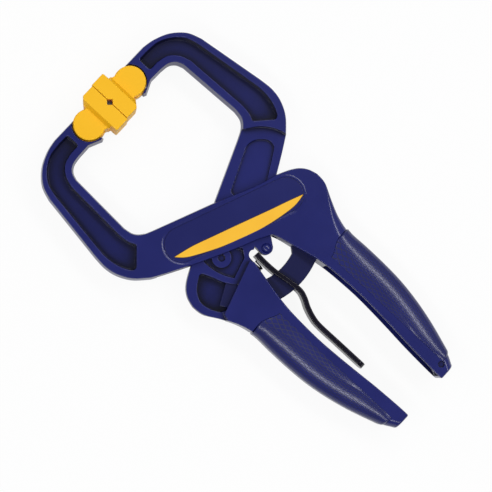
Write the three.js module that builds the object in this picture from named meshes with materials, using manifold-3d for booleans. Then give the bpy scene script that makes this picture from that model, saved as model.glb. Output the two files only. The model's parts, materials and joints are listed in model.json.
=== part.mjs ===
// A one-hand locking spring clamp: two crossed arms on a rivet, an arc bar that a release lever
// binds on, two swivelling pads and two rubber grips. Millimetres, +Z up. The model is drawn with
// the pivot axis at the origin and +X toward the jaws, then set on its underside.
import * as THREE from "three";
import { mergeVertices } from "three/addons/utils/BufferGeometryUtils.js";
import Module from "manifold-3d";

const wasm = await Module();
wasm.setup();

// ---- driving dimensions -------------------------------------------------------------------
const gap = 0.3; // clearance between neighbouring pieces
const tailX = -162.1; // handles' far ends

const jawHalf = 8.5; // half thickness of the jaws and of the fork's two plates
const tongueHalf = 4; // half thickness of the tongue that turns between the plates
const handleHalf = 13; // half thickness of the handles
const webHalf = 2.5; // half thickness left at the bottom of the jaw pockets
const lean = 0.5; // the moulded sides slope: their outline is drawn half way up, this far from each end

const shoulderRadius = 65; // arc where the back jaw thins down to its tongue
const slotRadius = 66.3; // end of the fork's slot in the front jaw
const shoulderTop = [-18.5, -12.5]; // the handle's shoulder line, beside the crossing
const shoulderFoot = [-30, -49.5];

const padAxis = [117.2, 19.2]; // swivel axis of the pad, for a jaw at +Y
const seatCentre = [117.4, 19.4]; // the round seat that the jaw holds the pad in
const seatRadius = 11.1;
const padReach = 15.2; // from the pad's axis to its two ends, which differ
const padLongReach = 15.9;
const jawTip = 126.7; // the jaws' far side
const barrelRadius = 10.3;
const barrelHalf = 10.6; // half thickness of the pad's two cheeks
const headHalf = 15; // half thickness of the pad's gripping head
const trunnionRadius = 3;
const trunnionHalf = 8;

const rivetRadius = 4;
const rivetHeadRadius = 7;
const rivetHeadDepth = 2.3;
const bushRadius = 5.4;

const barInner = 37; // the arc bar's radii about the pivot
const barOuter = 53;
const barHalf = 2.5;
const barTail = 117; // degrees, its free end, inside the back arm's lobe
const barRoot = 226; // degrees, its end inside the front handle
const barPegRadius = 2;
const barPegAngles = [208, 219];

const leverThickness = 3.5;
const leverHalf = 7.5; // half its width, along the pivot axis
const windowHalf = 3.3; // half the width of the lever's window for the bar
const leverEnds = [-119.5, -18.7];

const gripThickness = 2.2;
const gripProud = 0.9; // how far the grip stands off the handle's own outline
const gripEdge = -24.8; // where the grip's lip ends on the handle's face
const channelHalf = 8.7; // the hollow along the handle's inner side
const channelWall = 9.5; // from the hollow to the handle's outer side

const labelHalfWidth = 11.3;
const labelAxis = [
  [-6.6, -35],
  [20.8, 35],
];
const labelDepth = 0.9;

// On the back arm, drawn as the arm with its jaw at +Y.
const leverNotch = [-18.2, -7.4];
const fulcrum = [-20.2, 1.1];
const ringBoss = [-4, -23.5]; // the post that holds the opening spring's long leg

const springWire = 1.4; // the opening spring, coiled round the pivot
const springRadius = 9.2;
const springPitch = 1.95;
const springTurns = 2;
const springBottom = -tongueHalf + springWire / 2;
const springTop = springBottom + springPitch * springTurns;

const leverSpringX = -25;
const leverSpringFoot = 8.7;
const leverSpringTop = 17;
const leverSpringWire = 1;
const leverSpringRadius = 3.1;
const springBoreRadius = leverSpringRadius + leverSpringWire / 2 + 2 * gap;

const rad = THREE.MathUtils.degToRad;

// ---- materials ----------------------------------------------------------------------------
function material(color, roughness, metalness) {
  return new THREE.MeshStandardMaterial({ color, roughness, metalness });
}
const armResin = material(0x24285f, 0.42, 0);
const gripRubber = material(0x1f2358, 0.7, 0);
const padResin = material(0xfdbb28, 0.5, 0);
const barSteel = material(0x1d2050, 0.35, 0.3);
const blackSteel = material(0x18151f, 0.35, 0.7);
const rivetSteel = material(0x8f9299, 0.35, 0.9);
const labelFilm = material(0x15183a, 0.3, 0);

// ---- shapes, solids and booleans ----------------------------------------------------------
const v2 = ([x, y]) => new THREE.Vector2(x, y);
const polar = (radius, degrees) => [radius * Math.cos(rad(degrees)), radius * Math.sin(rad(degrees))];

function polygon(points) {
  return new THREE.Shape(points.map(v2));
}

function disc([x, y], radius) {
  return new THREE.Shape().absarc(x, y, radius, 0, 2 * Math.PI);
}

// A slot shape with round ends, from a to b.
function stadium(a, b, radius) {
  const turn = Math.atan2(b[1] - a[1], b[0] - a[0]);
  const shape = new THREE.Shape();
  shape.absarc(b[0], b[1], radius, turn - Math.PI / 2, turn + Math.PI / 2);
  shape.absarc(a[0], a[1], radius, turn + Math.PI / 2, turn + (3 * Math.PI) / 2);
  return shape;
}

// Part of a ring about the pivot, between two angles in degrees.
function ringSector(inner, outer, from, to) {
  const shape = new THREE.Shape();
  shape.absarc(0, 0, outer, rad(from), rad(to), false);
  shape.absarc(0, 0, inner, rad(to), rad(from), true);
  return shape;
}

// A closed mesh becomes a solid, with its faces turned outward.
function solid(geometry) {
  const bare = geometry.clone();
  bare.deleteAttribute("normal");
  bare.deleteAttribute("uv");
  const merged = mergeVertices(bare, 1e-4);
  const triVerts = new Uint32Array(merged.index.array);
  const vertProperties = merged.attributes.position.array;
  const make = () => new wasm.Manifold(new wasm.Mesh({ numProp: 3, vertProperties, triVerts }));
  const made = make();
  if (made.volume() > 0) return made;
  for (let i = 0; i < triVerts.length; i += 3) triVerts.subarray(i, i + 3).reverse();
  return make();
}

function slab(shape, low, high, bevel = 0, curveSegments = 8) {
  const geometry = new THREE.ExtrudeGeometry(shape, {
    depth: high - low - 2 * bevel,
    bevelEnabled: bevel > 0,
    bevelThickness: bevel,
    bevelSize: bevel,
    bevelOffset: -bevel,
    bevelSegments: 1,
    curveSegments,
  });
  return solid(geometry.translate(0, 0, low + bevel));
}

// A plate whose sides slope out from both faces to a narrow band half way up.
function mouldedSlab(shape, half) {
  const band = 0.5;
  const geometry = new THREE.ExtrudeGeometry(shape, {
    depth: 2 * band,
    bevelThickness: half - band,
    bevelSize: 2 * lean,
    bevelOffset: -lean,
    bevelSegments: 1,
    curveSegments: 4,
  });
  return solid(geometry.translate(0, 0, -band));
}

// The same outline cut or raised on both faces of a piece that is even about z = 0.
function bothFaces(shape, low, high, curveSegments = 8) {
  return slab(shape, low, high, 0, curveSegments).add(slab(shape, -high, -low, 0, curveSegments));
}

function post([x, y], radius, low, high, segments = 32) {
  return slab(disc([x, y], radius), low, high, 0, segments / 2);
}

// A skin over rings of equal length, closed by a flat cap at each end.
function loft(rings) {
  const count = rings[0].length;
  const positions = rings.flat().flatMap((p) => [p.x, p.y, p.z]);
  const faces = [];
  for (let r = 0; r + 1 < rings.length; r++) {
    for (let i = 0; i < count; i++) {
      const a = r * count + i;
      const b = r * count + ((i + 1) % count);
      faces.push(a, b, b + count, a, b + count, a + count);
    }
  }
  const capPlane = rings[0].map((p) => new THREE.Vector2(p.y, p.z));
  const last = (rings.length - 1) * count;
  for (const [a, b, c] of THREE.ShapeUtils.triangulateShape(capPlane, [])) {
    faces.push(a, c, b, last + a, last + b, last + c);
  }
  const geometry = new THREE.BufferGeometry();
  geometry.setAttribute("position", new THREE.Float32BufferAttribute(positions, 3));
  geometry.setIndex(faces);
  return solid(geometry);
}

function geometryOf(made) {
  const { vertProperties, triVerts } = made.getMesh();
  const geometry = new THREE.BufferGeometry();
  geometry.setAttribute("position", new THREE.Float32BufferAttribute(vertProperties, 3));
  geometry.setIndex(new THREE.Uint32BufferAttribute(triVerts, 1));
  geometry.computeVertexNormals();
  return geometry;
}

function mesh(name, made, looks) {
  const piece = new THREE.Mesh(geometryOf(made), looks);
  piece.name = name;
  return piece;
}

// ---- the arm that both halves share: jaw at +Y, handle at -Y -------------------------------
const innerRail = new THREE.SplineCurve(
  [
    [-18, -9.6],
    [-24, -11.6],
    [-32, -13.6],
    [-42, -16],
    [-52, -17.9],
    [-64, -19.2],
    [-84, -19.9],
    [-100, -19.4],
    [-116, -18.4],
    [-132, -17.2],
    [-148, -16.4],
    [-155.5, -16.1],
    [-160.8, -16.1],
  ].map(v2),
);
const outerRail = new THREE.SplineCurve(
  [
    [-12, -59.3],
    [-20, -58.4],
    [-31, -52.7],
    [-42, -47.8],
    [-54, -45.2],
    [-68, -45.4],
    [-84, -45.3],
    [-100, -44.4],
    [-116, -42],
    [-132, -38.3],
    [-148, -33.4],
    [-155.5, -30.9],
    [-160.8, -26.6],
  ].map(v2),
);
const railSpans = innerRail.points.length - 1;
// Places along the rails are counted in spans between their points.
const bodyStart = 0.5;
const plateEnd = 1.1; // how far the flat plate runs
const neckEnd = 4; // where the handle reaches its full thickness
const gripFrom = 3.75;
const gripTo = 10.85;
const gripSteps = 14;

const innerAt = (place) => innerRail.getPoint(place / railSpans);
const outerAt = (place) => outerRail.getPoint(place / railSpans);

// The outline of the jaw and the crossing plate, before the pad's seat is cut out of it.
function plateOutline() {
  const shape = new THREE.Shape();
  shape.moveTo(jawTip, 24.3);
  shape.lineTo(jawTip, 42);
  shape.splineThru([[125, 50.5], [120.4, 60.4], [112.4, 68.5], [103, 72.2]].map(v2));
  shape.lineTo(56, 79.1);
  shape.splineThru([[46.5, 79.7], [37.5, 77.9], [28.5, 73], [20.4, 64.6]].map(v2));
  shape.splineThru([[13.2, 52.2], [2, 31.2], [-8, 10.6], [-13, -1]].map(v2));
  for (let i = 0; i <= 2; i++) shape.lineTo(...innerAt((i / 2) * plateEnd).toArray());
  for (let i = 3; i >= 0; i--) shape.lineTo(...outerAt((i / 3) * plateEnd).toArray());
  shape.splineThru([[-5, -57], [1, -51.6], [6.6, -41], [12, -25.5], [23.7, 0]].map(v2));
  shape.lineTo(40.5, 40.6);
  shape.splineThru([[43.8, 47.3], [48.5, 51.4], [55, 52.8]].map(v2));
  shape.lineTo(99, 51);
  shape.splineThru([[103.9, 49], [107, 44.8], [108, 38.5]].map(v2));
  shape.lineTo(108.2, 29.5);
  shape.lineTo(104.4, 21);
  shape.lineTo(105.1, 19.4);
  shape.lineTo(108, 19.4);
  return shape;
}

function smooth(value) {
  return THREE.MathUtils.smoothstep(value, 0, 1);
}

// The handle's skin starts a little inside the flat plate, and comes out of it at the plate's end.
function plateInset(place) {
  return 0.25 * (1 - smooth((place - plateEnd * 0.7) / (plateEnd * 0.3)));
}

// Half thickness, outer corner size, and what is left of the plate's sloped sides at a place.
function handleSection(place) {
  const swell = smooth((place - 1.3) / (neckEnd - 1.3));
  const round = smooth((place - 0.9) / 2.2);
  const tip = smooth((place - 8.8) / 2);
  return {
    half: jawHalf - plateInset(place) + (handleHalf - jawHalf) * swell - 1.2 * tip,
    cornerY: 2 * lean + 10 * round - 6.6 * tip,
    cornerZ: 7.5,
    sideLean: lean * (1 - round),
    soft: lean + 1.1 * round,
  };
}

// A point of the cross-section at a place: y picks its share of the way between the rails.
function sectionPoint(place, y, z) {
  const inner = innerAt(place);
  const outer = outerAt(place);
  const x = THREE.MathUtils.mapLinear(y, inner.y, outer.y, inner.x, outer.x);
  return new THREE.Vector3(x, y, z);
}

// The handle's rounded outer side, shrunk by inset, from the front lip to the rear lip.
function outerProfile(place, lip, inset) {
  const { half, cornerY, cornerZ, sideLean } = handleSection(place);
  const side = outerAt(place).y + inset + plateInset(place) - sideLean;
  const points = [[lip, half - inset]];
  for (let i = 0; i <= 3; i++) {
    const turn = (i / 3) * (Math.PI / 2);
    const y = side + cornerY * (1 - Math.sin(turn));
    const z = half - inset - cornerZ * (1 - Math.cos(turn));
    points.push([y, z]);
  }
  return points.concat(points.map(([y, z]) => [y, -z]).reverse());
}

function handleRing(place) {
  const { half, sideLean, soft } = handleSection(place);
  const side = innerAt(place).y - plateInset(place);
  const profile = outerProfile(place, side - soft, 0).concat([
    [side, soft - half],
    [side + sideLean, -1],
    [side + sideLean, 1],
    [side, half - soft],
  ]);
  return profile.map(([y, z]) => sectionPoint(place, y, z));
}

function ringsBetween(from, to, count, ringAt) {
  return Array.from({ length: count + 1 }, (_, i) => ringAt(from + ((to - from) * i) / count));
}

// Two last rings drawn in toward the handle's middle, which round its end.
function handleTip() {
  const last = handleRing(railSpans);
  const middle = sectionPoint(railSpans, (innerAt(railSpans).y + outerAt(railSpans).y) / 2, 0);
  const drawn = (reach, share) =>
    last.map((p) => {
      const x = THREE.MathUtils.lerp(p.x, tailX, reach);
      return new THREE.Vector3(x, middle.y, 0).lerp(new THREE.Vector3(x, p.y, p.z), share);
    });
  return [drawn(0.7, 0.9), drawn(1, 0.75)];
}

function handleBody() {
  return loft([...ringsBetween(bodyStart, railSpans, 21, handleRing), ...handleTip()]);
}

// The C-shaped rings of the grip, between two inset profiles.
function sleeveRing(place, lip, outside, inside) {
  const profile = outerProfile(place, lip, outside).concat(outerProfile(place, lip, inside).reverse());
  return profile.map(([y, z]) => sectionPoint(place, y, z));
}

function gripSolid() {
  const ringAt = (place) => sleeveRing(place, gripEdge, -gripProud, gripThickness - gripProud);
  return loft(ringsBetween(gripFrom, gripTo, gripSteps, ringAt));
}

// The room that the grip takes out of the handle, with clearance on every side.
function gripRoom() {
  const ringAt = (place) => sleeveRing(place, gripEdge + gap, -6, gripThickness - gripProud + gap);
  const slack = 0.03;
  const rings = ringsBetween(gripFrom, gripTo, gripSteps, ringAt);
  return loft([ringAt(gripFrom - slack), ...rings, ringAt(gripTo + slack)]);
}

// The hollow that runs along the inner side of the handle.
function handleHollow() {
  const ringAt = (place) => {
    const near = innerAt(place).y + 3;
    const far = outerAt(place).y + channelWall;
    return [
      [near, channelHalf],
      [far, channelHalf],
      [far, -channelHalf],
      [near, -channelHalf],
    ].map(([y, z]) => sectionPoint(place, y, z));
  };
  return loft(ringsBetween(4.7, 9.9, 12, ringAt));
}

// The long pocket that leaves the jaw with a rim and a web.
function jawPocket() {
  const shape = new THREE.Shape();
  shape.moveTo(122.9, 41);
  shape.splineThru([[121.8, 50.7], [117.1, 59.2], [110, 65.3], [101.2, 67.9]].map(v2));
  shape.lineTo(54, 74.4);
  shape.quadraticCurveTo(42, 75, 33.4, 69.6);
  shape.quadraticCurveTo(31, 67.6, 32.4, 65.6);
  shape.lineTo(41.2, 56);
  shape.quadraticCurveTo(42.3, 54.9, 44.2, 56.2);
  shape.quadraticCurveTo(48, 58.2, 55, 58.2);
  shape.lineTo(98, 56.5);
  shape.splineThru([[105.2, 54], [110.9, 48.7], [113.1, 41]].map(v2));
  shape.lineTo(113.1, 35.8);
  shape.quadraticCurveTo(113.1, 33.8, 115.1, 33.8);
  shape.lineTo(120.9, 33.8);
  shape.quadraticCurveTo(122.9, 33.8, 122.9, 35.8);
  return shape;
}

// The web inside the pad, with its two trunnions.
function padCarrier() {
  const [x, y] = padAxis;
  const neck = polygon([
    [x - 4.6, y],
    [x + 4.6, y],
    [x + 9, y + 9],
    [x + 9, y + 13],
    [x - 9, y + 13],
    [x - 9, y + 9],
  ]);
  return slab(neck, -tongueHalf, tongueHalf)
    .add(post(padAxis, 5.4, -tongueHalf, tongueHalf))
    .add(post(padAxis, trunnionRadius, -trunnionHalf, trunnionHalf, 24));
}

function armBlank() {
  return mouldedSlab(plateOutline(), jawHalf)
    .add(handleBody())
    .subtract(post(seatCentre, seatRadius, -jawHalf - 1, jawHalf + 1, 40))
    .subtract(bothFaces(jawPocket(), webHalf, jawHalf + 1, 6))
    .subtract(handleHollow())
    .subtract(gripRoom())
    .add(padCarrier());
}

// Everything beside the crossing that one arm leaves free for the other, out to a radius.
// A brow changes the arc's course where it crosses the root of the jaw.
function crossingZone(radius, shoulder, brow = []) {
  const foot = shoulder[shoulder.length - 1];
  const shape = new THREE.Shape();
  shape.moveTo(...foot);
  for (const point of shoulder.slice(0, -1).reverse()) shape.lineTo(...point);
  shape.lineTo(-40, -4);
  shape.lineTo(-radius, 0);
  shape.absarc(0, 0, radius, Math.PI, rad(80), true);
  if (brow.length) shape.splineThru(brow.map(v2));
  shape.absarc(0, 0, radius, rad(38), Math.atan2(foot[1], foot[0]), true);
  return shape;
}

// Where the spring's long leg leaves the coil, running straight to the ring boss.
function springTangent() {
  const [x, y] = [ringBoss[0], -ringBoss[1]];
  const turn = Math.atan2(y, x) - Math.acos(springRadius / Math.hypot(x, y));
  return polar(springRadius, THREE.MathUtils.radToDeg(turn));
}

// ---- front arm ----------------------------------------------------------------------------
function barRoom(from, to) {
  const room = ringSector(barInner - 2 * gap, barOuter + 2 * gap, from, to);
  return slab(room, -barHalf - gap, barHalf + gap, 0, 10);
}

function frontArm() {
  const slotFoot = polar(slotRadius, 242);
  const slot = crossingZone(slotRadius, [shoulderTop, shoulderFoot, slotFoot]);
  const rootRoom = ringSector(barInner - 2.5 - gap, barOuter + gap, 199, barRoot + 0.6);
  const pegs = barPegAngles.map((angle) =>
    post(polar((barInner + barOuter) / 2, angle), barPegRadius, -barHalf - 1, barHalf + 1, 16),
  );
  const arm = armBlank()
    .subtract(slab(slot, -tongueHalf - gap, tongueHalf + gap, 0, 10))
    .subtract(slab(rootRoom, -barHalf - gap, barHalf + gap, 0, 6))
    .subtract(barRoom(185, 200))
    .subtract(slab(stadium(...labelAxis, labelHalfWidth + gap), jawHalf - labelDepth, jawHalf + 1, 0, 12))
    .subtract(post([0, 0], rivetRadius + gap, -jawHalf - 1, jawHalf + 1))
    .subtract(post([0, 0], rivetHeadRadius + gap, -jawHalf - 1, -jawHalf + rivetHeadDepth))
    .subtract(post(springTangent(), springWire / 2 + gap, -jawHalf - 1, -tongueHalf, 12));
  return pegs.reduce((whole, peg) => whole.add(peg), arm);
}

// ---- back arm: the same arm turned over, with a tongue and a lobe ---------------------------

function fulcrumNose() {
  const [x, y] = fulcrum;
  const neck = polygon([
    [x - 3.2, y + 3.7],
    [x + 1.5, y + 7.2],
    [-8, 13],
    [-8, -3],
    [-15.6, -3.4],
    [x + 0.3, y - 4.8],
  ]);
  return slab(neck, -tongueHalf, tongueHalf)
    .add(post(fulcrum, 4.9, -tongueHalf, tongueHalf))
    .add(post([x - 0.7, y], 3.9, -5.6, 5.6));
}

// The outer pocket of the lobe, where the bar's tail lies.
function lobeTailPocket() {
  const shape = new THREE.Shape();
  shape.moveTo(-31, -44);
  shape.lineTo(-27.6, -49.6);
  shape.splineThru([[-22, -52.6], [-14, -53.9], [-6.6, -50], [-1.4, -42.4]].map(v2));
  shape.quadraticCurveTo(-0.4, -40.2, -2.6, -39.2);
  shape.absarc(0, 0, 37.6, rad(256), rad(230), true);
  return shape;
}

function lobeInnerPocket() {
  const shape = new THREE.Shape();
  shape.moveTo(-14.8, -13.4);
  shape.lineTo(-18.9, -27.4);
  shape.absarc(0, 0, 33.2, rad(235.6), rad(276), false);
  shape.absarc(0, 0, 13.6, rad(285), rad(225), true);
  return shape;
}

// The tongue's pocket, most of it in sight beside the fork's front plate.
function tonguePocket() {
  const shape = new THREE.Shape();
  shape.moveTo(19, 11.9);
  shape.quadraticCurveTo(20.8, 11.7, 21.6, 13.4);
  shape.lineTo(32.2, 37.2);
  shape.splineThru([[33.9, 42.4], [32.2, 48.2], [28, 52.6]].map(v2));
  shape.quadraticCurveTo(24.5, 55.2, 20.8, 53.4);
  shape.quadraticCurveTo(19.4, 52.2, 18.3, 50.2);
  shape.lineTo(6.4, 29.8);
  shape.quadraticCurveTo(3.6, 23.4, 7.4, 15.4);
  shape.quadraticCurveTo(12.4, 12, 19, 11.9);
  return shape;
}

function leverSpringBore() {
  const length = 8;
  const bore = new THREE.CylinderGeometry(springBoreRadius, springBoreRadius, length, 24);
  return solid(bore.translate(leverSpringX, -leverSpringTop + length / 2 - gap, 0));
}

function backArm() {
  const brow = [[22.2, 63.8], [30.3, 60.4], [36.8, 55.3], [42.1, 48]];
  const zone = crossingZone(shoulderRadius, [shoulderTop, shoulderFoot, [-33.5, -50.7], [-38, -64]], brow);
  const springRoomTop = springTop + springWire / 2 + gap;
  const [tangentX, tangentY] = springTangent();
  const springRoom = post([0, 0], springRadius + springWire / 2 + 2 * gap, -tongueHalf - 1, springRoomTop);
  const hub = post([0, 0], springRadius - springWire / 2 - 2 * gap, -tongueHalf, springRoomTop);
  const legGroove = stadium([tangentX, -tangentY], ringBoss, springWire / 2 + 2 * gap);
  const boss = post(ringBoss, 6.5, 0.5, tongueHalf);
  return armBlank()
    .subtract(bothFaces(zone, tongueHalf, handleHalf + 1, 12))
    .add(fulcrumNose())
    .subtract(slab(lobeTailPocket(), -barHalf - gap, tongueHalf + 1, 0, 8))
    .subtract(barRoom(182, 246.5))
    .subtract(slab(lobeInnerPocket(), 1, tongueHalf + 1, 0, 8))
    .subtract(bothFaces(tonguePocket(), webHalf, tongueHalf + 1, 8))
    .subtract(slab(stadium(leverNotch, [-30, -8.2], 3.6), -handleHalf - 1, handleHalf + 1, 0, 10))
    .subtract(leverSpringBore())
    .subtract(springRoom)
    .add(hub)
    .add(boss)
    .subtract(post(ringBoss, 2.3, tongueHalf - 1.4, tongueHalf + 1, 16))
    .subtract(post(ringBoss, springWire / 2 + gap, -tongueHalf, springTop + 1.5, 12))
    .subtract(slab(legGroove, -tongueHalf - 1, springRoomTop, 0, 6))
    .subtract(post([0, 0], bushRadius + gap, -tongueHalf - 1, tongueHalf + 1));
}

// ---- pivot --------------------------------------------------------------------------------
// Its head is flush in the rear plate, and its plain end is pressed in under the label.
function rivet() {
  const end = jawHalf - labelDepth - gap;
  const seat = -jawHalf + rivetHeadDepth - gap;
  const profile = [
    [0, -jawHalf],
    [rivetHeadRadius - 1.2, -jawHalf],
    [rivetHeadRadius, -jawHalf + 0.9],
    [rivetHeadRadius, seat],
    [rivetRadius, seat],
    [rivetRadius, end - 0.6],
    [rivetRadius - 0.6, end],
    [0, end],
  ];
  return solid(new THREE.LatheGeometry(profile.map(v2), 32).rotateX(Math.PI / 2));
}

function bush() {
  const ring = disc([0, 0], bushRadius);
  ring.holes.push(new THREE.Path().absarc(0, 0, rivetRadius + gap, 0, 2 * Math.PI, true));
  return slab(ring, -tongueHalf, tongueHalf, 0, 16);
}

// ---- opening spring round the pivot ---------------------------------------------------------
// A wire of n sides swept along a smooth run of points.
function wire(points, diameter, sides, steps) {
  const section = new THREE.Shape(
    Array.from({ length: sides }, (_, i) => v2(polar(diameter / 2, (360 * i) / sides))),
  );
  const path = new THREE.CatmullRomCurve3(points, false, "centripetal");
  return solid(new THREE.ExtrudeGeometry(section, { steps, extrudePath: path, bevelEnabled: false }));
}

// Points of a coil about the given axis line: 8 to a turn.
function coil(centre, radius, pitch, turns, startDegrees, place) {
  const count = Math.round(turns * 8);
  return Array.from({ length: count + 1 }, (_, i) => {
    const [u, v] = polar(radius, startDegrees + i * 45);
    return place(centre, u, v, (i / 8) * pitch);
  });
}

// A short leg down into the fork's rear plate, two turns, and a long leg bent up into the boss.
function openingSpring() {
  const [x, y] = springTangent();
  const start = THREE.MathUtils.radToDeg(Math.atan2(y, x));
  const place = (base, u, v, along) => new THREE.Vector3(u, v, base + along);
  const turns = coil(springBottom, springRadius, springPitch, springTurns, start, place);
  const foot = new THREE.Vector3(x, y, -jawHalf + 1);
  const bend = new THREE.Vector3(ringBoss[0], -ringBoss[1], springTop);
  const nearBend = bend.clone().lerp(turns[turns.length - 1], 0.06);
  const tip = bend.clone().setZ(springTop + 1.2);
  const overBend = bend.clone().lerp(tip, 0.5);
  return wire([foot, ...turns, nearBend, overBend, tip], springWire, 5, 40);
}

// ---- lever spring ---------------------------------------------------------------------------
function leverSpringPoints() {
  const run = leverSpringWire;
  const pitch = 1.55;
  const low = leverSpringFoot + run;
  const turns = Math.floor(((leverSpringTop - run - low) / pitch) * 8) / 8;
  const place = (centre, u, v, along) => new THREE.Vector3(leverSpringX + u, centre + along, v);
  const points = coil(low, leverSpringRadius, pitch, turns, 0, place);
  const start = points[0].clone().setY(leverSpringFoot);
  const end = points[points.length - 1].clone();
  end.y += run;
  return [start, ...points, end];
}

// The least distance between curls that are a half turn or more apart, less the wire.
function leastGap(points, diameter) {
  let least = Infinity;
  points.forEach((a, i) => {
    for (let j = i + 5; j < points.length; j++) least = Math.min(least, a.distanceTo(points[j]));
  });
  return least - diameter;
}

// ---- arc bar --------------------------------------------------------------------------------
function arcBar() {
  const shape = new THREE.Shape();
  shape.absarc(0, 0, barOuter, rad(barTail), rad(barRoot), false);
  shape.absarc(0, 0, barInner - 2.5, rad(barRoot), rad(202.5), true);
  shape.lineTo(...polar(barInner, 196));
  shape.absarc(0, 0, barInner, rad(196), rad(barTail), true);
  const holes = barPegAngles.map((angle) =>
    post(polar((barInner + barOuter) / 2, angle), barPegRadius + gap, -barHalf - 1, barHalf + 1, 16),
  );
  return holes.reduce((bar, hole) => bar.subtract(hole), slab(shape, -barHalf, barHalf, 0.4, 20));
}

// ---- release lever --------------------------------------------------------------------------
const leverLine = new THREE.SplineCurve(
  [
    [leverEnds[0], 12.4],
    [-98, 12.5],
    [-81, 12.6],
    [-74, 11.6],
    [-67, 9.1],
    [-61, 5.9],
    [-55, 4.3],
    [-45, 5.1],
    [-36, 6.5],
    [-27, 6.8],
    [leverEnds[1], 6.4],
  ].map(v2),
);

function ribbon(curve, half, count) {
  const side = (sign) =>
    Array.from({ length: count + 1 }, (_, i) => {
      const t = i / count;
      const along = curve.getTangent(t);
      const at = curve.getPoint(t);
      return new THREE.Vector2(at.x - sign * along.y * half, at.y + sign * along.x * half);
    });
  return new THREE.Shape([...side(-1), ...side(1).reverse()]);
}

// The outline seen along Y, drawn in x and z.
function alongY(shape, low, high) {
  const geometry = new THREE.ExtrudeGeometry(shape, {
    depth: high - low,
    bevelEnabled: false,
    curveSegments: 8,
  });
  return solid(geometry.rotateX(Math.PI / 2).translate(0, high, 0));
}

function releaseLever() {
  const strip = slab(ribbon(leverLine, leverThickness / 2, 40), -leverHalf, leverHalf, 0.5);
  const plan = new THREE.Shape();
  plan.moveTo(leverEnds[1] + 2, -leverHalf);
  plan.lineTo(leverEnds[1] + 2, leverHalf);
  plan.absarc(leverEnds[0] + 5, leverHalf - 5, 5, Math.PI / 2, Math.PI, false);
  plan.absarc(leverEnds[0] + 5, 5 - leverHalf, 5, Math.PI, 1.5 * Math.PI, false);
  const opening = polygon([
    [-barOuter - 1.4, -windowHalf],
    [-barInner + 1.4, -windowHalf],
    [-barInner + 1.4, windowHalf],
    [-barOuter - 1.4, windowHalf],
  ]);
  return strip.intersect(alongY(plan, -20, 40)).subtract(alongY(opening, -20, 40));
}

// ---- pads -----------------------------------------------------------------------------------
// Drawn for the jaw at +Y: the gripping face is at low Y, with a groove for round stock.
function padOutline(face) {
  const [x, y] = padAxis;
  const shape = new THREE.Shape();
  shape.moveTo(x - padLongReach, face);
  shape.lineTo(x - 2.5, face);
  shape.lineTo(x, face + 2.3);
  shape.lineTo(x + 2.5, face);
  shape.lineTo(x + padReach, face);
  shape.lineTo(x + padReach, 9);
  shape.lineTo(x + 9.7, 13.6);
  shape.absarc(x, y, barrelRadius, -0.52, Math.PI + 0.4, false);
  shape.lineTo(x - 10.8, 12.8);
  shape.lineTo(x - 11, 10.6);
  shape.lineTo(x - padLongReach + 0.6, 10.4);
  shape.lineTo(x - padLongReach, 9.8);
  return shape;
}

function pad() {
  const [x, y] = padAxis;
  const whole = padOutline(gap / 2);
  const thin = polygon([
    [x - 20, 10.5],
    [x + 20, 10.5],
    [x + 20, y + 20],
    [x - 20, y + 20],
  ]);
  const slot = new THREE.Shape();
  slot.absarc(x, y, 6.2, Math.PI, 2 * Math.PI, false);
  slot.lineTo(x + 12, y + 4);
  slot.lineTo(x + 12, y + 14);
  slot.lineTo(x - 12, y + 14);
  slot.lineTo(x - 12, y + 4);
  return slab(whole, -headHalf, headHalf, 0.5, 10)
    .subtract(bothFaces(thin, barrelHalf, headHalf + 1))
    .subtract(slab(slot, -tongueHalf - gap, tongueHalf + gap, 0, 8))
    .subtract(post(padAxis, trunnionRadius + gap, -trunnionHalf - gap, trunnionHalf + gap, 24));
}

// ---- label ----------------------------------------------------------------------------------
function label() {
  return slab(stadium(...labelAxis, labelHalfWidth), jawHalf - labelDepth + gap, jawHalf, 0, 12);
}

// ---- assembly -------------------------------------------------------------------------------
function turnedOver(piece) {
  piece.scale.y = -1;
  return piece;
}

const backPad = mesh("back_pad", pad(), padResin);
backPad.rotation.z = Math.PI;
backPad.position.x = 2 * padAxis[0];

const springRun = leverSpringPoints();
console.log("lever spring, least gap to itself (mm):", leastGap(springRun, leverSpringWire).toFixed(2));

const clamp = new THREE.Group();
clamp.add(
  mesh("front_arm", frontArm(), armResin),
  mesh("front_grip", gripSolid(), gripRubber),
  mesh("arc_bar", arcBar(), barSteel),
  mesh("label_plate", label(), labelFilm),
  mesh("pivot_rivet", rivet(), rivetSteel),
  mesh("pivot_bush", bush(), rivetSteel),
  mesh("front_pad", pad(), padResin),
  turnedOver(mesh("back_arm", backArm(), armResin)),
  turnedOver(mesh("back_grip", gripSolid(), gripRubber)),
  mesh("opening_spring", openingSpring(), blackSteel),
  mesh("release_lever", releaseLever(), blackSteel),
  mesh("lever_spring", wire(springRun, leverSpringWire, 5, springRun.length * 2), blackSteel),
  backPad,
);
clamp.position.set(-(padAxis[0] + padLongReach + tailX) / 2, 0, headHalf);

export default clamp;
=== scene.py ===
import json
import math

import bmesh
import bpy
import numpy as np
from mathutils import Matrix, Vector


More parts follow.
